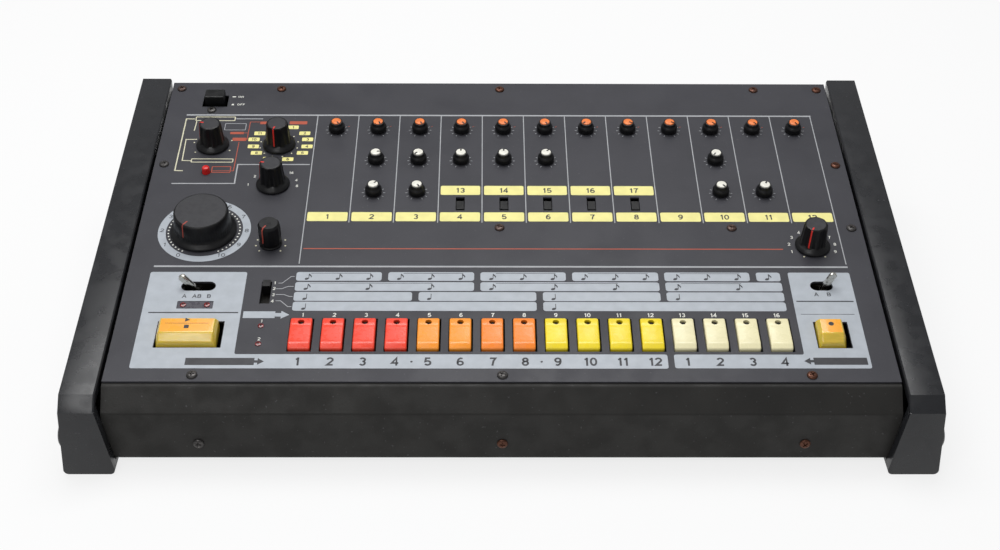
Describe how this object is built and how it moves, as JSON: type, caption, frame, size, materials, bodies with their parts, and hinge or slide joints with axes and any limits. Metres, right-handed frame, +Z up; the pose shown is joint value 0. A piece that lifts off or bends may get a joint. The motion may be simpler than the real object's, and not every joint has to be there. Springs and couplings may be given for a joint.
{
  "type": "drum machine",
  "caption": "Desktop drum machine: a sloping steel panel of knobs, selectors, toggles and a row of coloured step keys between two moulded end cheeks, with sockets on the rear.",
  "frame": {"origin": "on the surface that the machine stands on, in the middle of its width and depth", "axes": "+X to the right, +Y to the back, +Z up; the panel faces up and slopes down to the front"},
  "size_m": [0.5136, 0.3076, 0.105],
  "materials": {
    "panel_paint": "satin",
    "tray_paint": "satin",
    "cheek_plastic": "satin, finely textured",
    "screw_steel": "satin",
    "knob_plastic": "satin",
    "key_red": "satin",
    "key_light_orange": "satin",
    "key_orange": "satin",
    "key_yellow": "satin",
    "key_cream": "satin",
    "key_amber": "gloss",
    "button_black": "satin",
    "button_red": "gloss",
    "slider_black": "satin",
    "toggle_chrome": "polished",
    "board_laminate": "satin",
    "socket_black": "matt"
  },
  "bodies": {
    "case": {"top_panel": "panel_paint", "bottom_tray": "tray_paint", "left_cheek": "cheek_plastic", "right_cheek": "cheek_plastic", "case_screws": "screw_steel", "panel_boards": "board_laminate", "base_electronics": "board_laminate", "rear_sockets": "socket_black"},
    "level_knob_01": {"level_knob_01": "knob_plastic"},
    "level_knob_02": {"level_knob_02": "knob_plastic"},
    "level_knob_03": {"level_knob_03": "knob_plastic"},
    "level_knob_04": {"level_knob_04": "knob_plastic"},
    "level_knob_05": {"level_knob_05": "knob_plastic"},
    "level_knob_06": {"level_knob_06": "knob_plastic"},
    "level_knob_07": {"level_knob_07": "knob_plastic"},
    "level_knob_08": {"level_knob_08": "knob_plastic"},
    "level_knob_09": {"level_knob_09": "knob_plastic"},
    "level_knob_10": {"level_knob_10": "knob_plastic"},
    "level_knob_11": {"level_knob_11": "knob_plastic"},
    "level_knob_12": {"level_knob_12": "knob_plastic"},
    "bass_tone_knob": {"bass_tone_knob": "knob_plastic"},
    "snare_tone_knob": {"snare_tone_knob": "knob_plastic"},
    "low_tuning_knob": {"low_tuning_knob": "knob_plastic"},
    "mid_tuning_knob": {"mid_tuning_knob": "knob_plastic"},
    "high_tuning_knob": {"high_tuning_knob": "knob_plastic"},
    "cymbal_tone_knob": {"cymbal_tone_knob": "knob_plastic"},
    "bass_decay_knob": {"bass_decay_knob": "knob_plastic"},
    "snare_snappy_knob": {"snare_snappy_knob": "knob_plastic"},
    "cymbal_decay_knob": {"cymbal_decay_knob": "knob_plastic"},
    "hat_decay_knob": {"hat_decay_knob": "knob_plastic"},
    "mode_knob": {"mode_knob": "knob_plastic"},
    "instrument_knob": {"instrument_knob": "knob_plastic"},
    "fill_knob": {"fill_knob": "knob_plastic"},
    "tempo_knob": {"tempo_knob": "knob_plastic"},
    "fine_tempo_knob": {"fine_tempo_knob": "knob_plastic"},
    "volume_knob": {"volume_knob": "knob_plastic"},
    "step_key_01": {"step_key_01": "key_red"},
    "step_key_02": {"step_key_02": "key_red"},
    "step_key_03": {"step_key_03": "key_red"},
    "step_key_04": {"step_key_04": "key_red"},
    "step_key_05": {"step_key_05": "key_light_orange"},
    "step_key_06": {"step_key_06": "key_light_orange"},
    "step_key_07": {"step_key_07": "key_orange"},
    "step_key_08": {"step_key_08": "key_orange"},
    "step_key_09": {"step_key_09": "key_yellow"},
    "step_key_10": {"step_key_10": "key_yellow"},
    "step_key_11": {"step_key_11": "key_yellow"},
    "step_key_12": {"step_key_12": "key_yellow"},
    "step_key_13": {"step_key_13": "key_cream"},
    "step_key_14": {"step_key_14": "key_cream"},
    "step_key_15": {"step_key_15": "key_cream"},
    "step_key_16": {"step_key_16": "key_cream"},
    "start_key": {"start_key": "key_amber"},
    "tap_key": {"tap_key": "key_amber"},
    "clear_button": {"clear_button": "button_red"},
    "power_button": {"power_button": "button_black"},
    "basic_toggle": {"basic_toggle": "toggle_chrome"},
    "fill_toggle": {"fill_toggle": "toggle_chrome"},
    "prescale_slider": {"prescale_slider": "slider_black"},
    "voice_sliders": {"voice_sliders": "slider_black"}
  },
  "joints": [
    {"name": "level_knob_01_turn", "type": "hinge", "parent": "case", "child": "level_knob_01", "pos_m": [-0.1113, 0.09857, 0.08794], "axis": [0, -0.1495, 0.9888], "range_deg": [0, 300]},
    {"name": "level_knob_02_turn", "type": "hinge", "parent": "case", "child": "level_knob_02", "pos_m": [-0.08297, 0.09857, 0.08794], "axis": [0, -0.1495, 0.9888], "range_deg": [0, 300]},
    {"name": "level_knob_03_turn", "type": "hinge", "parent": "case", "child": "level_knob_03", "pos_m": [-0.05464, 0.09857, 0.08794], "axis": [0, -0.1495, 0.9888], "range_deg": [0, 300]},
    {"name": "level_knob_04_turn", "type": "hinge", "parent": "case", "child": "level_knob_04", "pos_m": [-0.02631, 0.09857, 0.08794], "axis": [0, -0.1495, 0.9888], "range_deg": [-5, 295]},
    {"name": "level_knob_05_turn", "type": "hinge", "parent": "case", "child": "level_knob_05", "pos_m": [0.00202, 0.09857, 0.08794], "axis": [0, -0.1495, 0.9888], "range_deg": [-15, 285]},
    {"name": "level_knob_06_turn", "type": "hinge", "parent": "case", "child": "level_knob_06", "pos_m": [0.03035, 0.09857, 0.08794], "axis": [0, -0.1495, 0.9888], "range_deg": [0, 300]},
    {"name": "level_knob_07_turn", "type": "hinge", "parent": "case", "child": "level_knob_07", "pos_m": [0.05868, 0.09857, 0.08794], "axis": [0, -0.1495, 0.9888], "range_deg": [-280, 20]},
    {"name": "level_knob_08_turn", "type": "hinge", "parent": "case", "child": "level_knob_08", "pos_m": [0.08701, 0.09857, 0.08794], "axis": [0, -0.1495, 0.9888], "range_deg": [-30, 270]},
    {"name": "level_knob_09_turn", "type": "hinge", "parent": "case", "child": "level_knob_09", "pos_m": [0.11534, 0.09857, 0.08794], "axis": [0, -0.1495, 0.9888], "range_deg": [-35, 265]},
    {"name": "level_knob_10_turn", "type": "hinge", "parent": "case", "child": "level_knob_10", "pos_m": [0.14367, 0.09857, 0.08794], "axis": [0, -0.1495, 0.9888], "range_deg": [-10, 290]},
    {"name": "level_knob_11_turn", "type": "hinge", "parent": "case", "child": "level_knob_11", "pos_m": [0.172, 0.09857, 0.08794], "axis": [0, -0.1495, 0.9888], "range_deg": [-10, 290]},
    {"name": "level_knob_12_turn", "type": "hinge", "parent": "case", "child": "level_knob_12", "pos_m": [0.20033, 0.09857, 0.08794], "axis": [0, -0.1495, 0.9888], "range_deg": [0, 300]},
    {"name": "bass_tone_knob_turn", "type": "hinge", "parent": "case", "child": "bass_tone_knob", "pos_m": [-0.08297, 0.06575, 0.08298], "axis": [0, -0.1495, 0.9888], "range_deg": [-65, 235]},
    {"name": "snare_tone_knob_turn", "type": "hinge", "parent": "case", "child": "snare_tone_knob", "pos_m": [-0.05464, 0.06575, 0.08298], "axis": [0, -0.1495, 0.9888], "range_deg": [-285, 15]},
    {"name": "low_tuning_knob_turn", "type": "hinge", "parent": "case", "child": "low_tuning_knob", "pos_m": [-0.02631, 0.06575, 0.08298], "axis": [0, -0.1495, 0.9888], "range_deg": [-150, 150]},
    {"name": "mid_tuning_knob_turn", "type": "hinge", "parent": "case", "child": "mid_tuning_knob", "pos_m": [0.00202, 0.06575, 0.08298], "axis": [0, -0.1495, 0.9888], "range_deg": [-145, 155]},
    {"name": "high_tuning_knob_turn", "type": "hinge", "parent": "case", "child": "high_tuning_knob", "pos_m": [0.03035, 0.06575, 0.08298], "axis": [0, -0.1495, 0.9888], "range_deg": [-115, 185]},
    {"name": "cymbal_tone_knob_turn", "type": "hinge", "parent": "case", "child": "cymbal_tone_knob", "pos_m": [0.14367, 0.06575, 0.08298], "axis": [0, -0.1495, 0.9888], "range_deg": [-295, 5]},
    {"name": "bass_decay_knob_turn", "type": "hinge", "parent": "case", "child": "bass_decay_knob", "pos_m": [-0.08297, 0.03292, 0.07801], "axis": [0, -0.1495, 0.9888], "range_deg": [-105, 195]},
    {"name": "snare_snappy_knob_turn", "type": "hinge", "parent": "case", "child": "snare_snappy_knob", "pos_m": [-0.05464, 0.03292, 0.07801], "axis": [0, -0.1495, 0.9888], "range_deg": [0, 300]},
    {"name": "cymbal_decay_knob_turn", "type": "hinge", "parent": "case", "child": "cymbal_decay_knob", "pos_m": [0.14367, 0.03292, 0.07801], "axis": [0, -0.1495, 0.9888], "range_deg": [-10, 290]},
    {"name": "hat_decay_knob_turn", "type": "hinge", "parent": "case", "child": "hat_decay_knob", "pos_m": [0.172, 0.03292, 0.07801], "axis": [0, -0.1495, 0.9888], "range_deg": [-125, 175]},
    {"name": "mode_knob_turn", "type": "hinge", "parent": "case", "child": "mode_knob", "pos_m": [-0.1938, 0.08177, 0.0854], "axis": [0, -0.1495, 0.9888], "range_deg": [-150, 0]},
    {"name": "instrument_knob_turn", "type": "hinge", "parent": "case", "child": "instrument_knob", "pos_m": [-0.1492, 0.08236, 0.08549], "axis": [0, -0.1495, 0.9888], "range_deg": [-330, 0]},
    {"name": "fill_knob_turn", "type": "hinge", "parent": "case", "child": "fill_knob", "pos_m": [-0.1492, 0.04083, 0.07921], "axis": [0, -0.1495, 0.9888], "range_deg": [-150, 0]},
    {"name": "tempo_knob_turn", "type": "hinge", "parent": "case", "child": "tempo_knob", "pos_m": [-0.1886, -0.00426, 0.07239], "axis": [0, -0.1495, 0.9888], "range_deg": [-288, 12]},
    {"name": "fine_tempo_knob_turn", "type": "hinge", "parent": "case", "child": "fine_tempo_knob", "pos_m": [-0.1448, -0.01662, 0.07053], "axis": [0, -0.1495, 0.9888], "range_deg": [-300, 0]},
    {"name": "volume_knob_turn", "type": "hinge", "parent": "case", "child": "volume_knob", "pos_m": [0.196, -0.0181, 0.0703], "axis": [0, -0.1495, 0.9888], "range_deg": [-300, 0]},
    {"name": "step_key_01_slide", "type": "slide", "parent": "case", "child": "step_key_01", "axis": [0, 0.1495, -0.9888], "range_m": [0, 0.0018], "stiffness_N_per_m": 300, "springref_m": -0.0008},
    {"name": "step_key_02_slide", "type": "slide", "parent": "case", "child": "step_key_02", "axis": [0, 0.1495, -0.9888], "range_m": [0, 0.0018], "stiffness_N_per_m": 300, "springref_m": -0.0008},
    {"name": "step_key_03_slide", "type": "slide", "parent": "case", "child": "step_key_03", "axis": [0, 0.1495, -0.9888], "range_m": [0, 0.0018], "stiffness_N_per_m": 300, "springref_m": -0.0008},
    {"name": "step_key_04_slide", "type": "slide", "parent": "case", "child": "step_key_04", "axis": [0, 0.1495, -0.9888], "range_m": [0, 0.0018], "stiffness_N_per_m": 300, "springref_m": -0.0008},
    {"name": "step_key_05_slide", "type": "slide", "parent": "case", "child": "step_key_05", "axis": [0, 0.1495, -0.9888], "range_m": [0, 0.0018], "stiffness_N_per_m": 300, "springref_m": -0.0008},
    {"name": "step_key_06_slide", "type": "slide", "parent": "case", "child": "step_key_06", "axis": [0, 0.1495, -0.9888], "range_m": [0, 0.0018], "stiffness_N_per_m": 300, "springref_m": -0.0008},
    {"name": "step_key_07_slide", "type": "slide", "parent": "case", "child": "step_key_07", "axis": [0, 0.1495, -0.9888], "range_m": [0, 0.0018], "stiffness_N_per_m": 300, "springref_m": -0.0008},
    {"name": "step_key_08_slide", "type": "slide", "parent": "case", "child": "step_key_08", "axis": [0, 0.1495, -0.9888], "range_m": [0, 0.0018], "stiffness_N_per_m": 300, "springref_m": -0.0008},
    {"name": "step_key_09_slide", "type": "slide", "parent": "case", "child": "step_key_09", "axis": [0, 0.1495, -0.9888], "range_m": [0, 0.0018], "stiffness_N_per_m": 300, "springref_m": -0.0008},
    {"name": "step_key_10_slide", "type": "slide", "parent": "case", "child": "step_key_10", "axis": [0, 0.1495, -0.9888], "range_m": [0, 0.0018], "stiffness_N_per_m": 300, "springref_m": -0.0008},
    {"name": "step_key_11_slide", "type": "slide", "parent": "case", "child": "step_key_11", "axis": [0, 0.1495, -0.9888], "range_m": [0, 0.0018], "stiffness_N_per_m": 300, "springref_m": -0.0008},
    {"name": "step_key_12_slide", "type": "slide", "parent": "case", "child": "step_key_12", "axis": [0, 0.1495, -0.9888], "range_m": [0, 0.0018], "stiffness_N_per_m": 300, "springref_m": -0.0008},
    {"name": "step_key_13_slide", "type": "slide", "parent": "case", "child": "step_key_13", "axis": [0, 0.1495, -0.9888], "range_m": [0, 0.0018], "stiffness_N_per_m": 300, "springref_m": -0.0008},
    {"name": "step_key_14_slide", "type": "slide", "parent": "case", "child": "step_key_14", "axis": [0, 0.1495, -0.9888], "range_m": [0, 0.0018], "stiffness_N_per_m": 300, "springref_m": -0.0008},
    {"name": "step_key_15_slide", "type": "slide", "parent": "case", "child": "step_key_15", "axis": [0, 0.1495, -0.9888], "range_m": [0, 0.0018], "stiffness_N_per_m": 300, "springref_m": -0.0008},
    {"name": "step_key_16_slide", "type": "slide", "parent": "case", "child": "step_key_16", "axis": [0, 0.1495, -0.9888], "range_m": [0, 0.0018], "stiffness_N_per_m": 300, "springref_m": -0.0008},
    {"name": "start_key_slide", "type": "slide", "parent": "case", "child": "start_key", "axis": [0, 0.1495, -0.9888], "range_m": [0, 0.0018], "stiffness_N_per_m": 400, "springref_m": -0.001},
    {"name": "tap_key_slide", "type": "slide", "parent": "case", "child": "tap_key", "axis": [0, 0.1495, -0.9888], "range_m": [0, 0.0018], "stiffness_N_per_m": 400, "springref_m": -0.001},
    {"name": "clear_button_slide", "type": "slide", "parent": "case", "child": "clear_button", "axis": [0, 0.1495, -0.9888], "range_m": [0, 0.0015], "stiffness_N_per_m": 300, "springref_m": -0.0008},
    {"name": "power_button_slide", "type": "slide", "parent": "case", "child": "power_button", "axis": [0, 0.1495, -0.9888], "range_m": [0, 0.003]},
    {"name": "basic_toggle_turn", "type": "hinge", "parent": "case", "child": "basic_toggle", "pos_m": [-0.185, -0.05426, 0.05927], "axis": [0, 0.9888, 0.1495], "range_deg": [0, 70]},
    {"name": "fill_toggle_turn", "type": "hinge", "parent": "case", "child": "fill_toggle", "pos_m": [0.196, -0.05347, 0.05939], "axis": [0, 0.9888, 0.1495], "range_deg": [-44, 0]},
    {"name": "prescale_slider_slide", "type": "slide", "parent": "case", "child": "prescale_slider", "axis": [0, -0.9888, -0.1495], "range_m": [0, 0.013]},
    {"name": "voice_sliders_slide", "type": "slide", "parent": "case", "child": "voice_sliders", "axis": [0, 0.9888, 0.1495], "range_m": [0, 0.0036]}
  ]
}
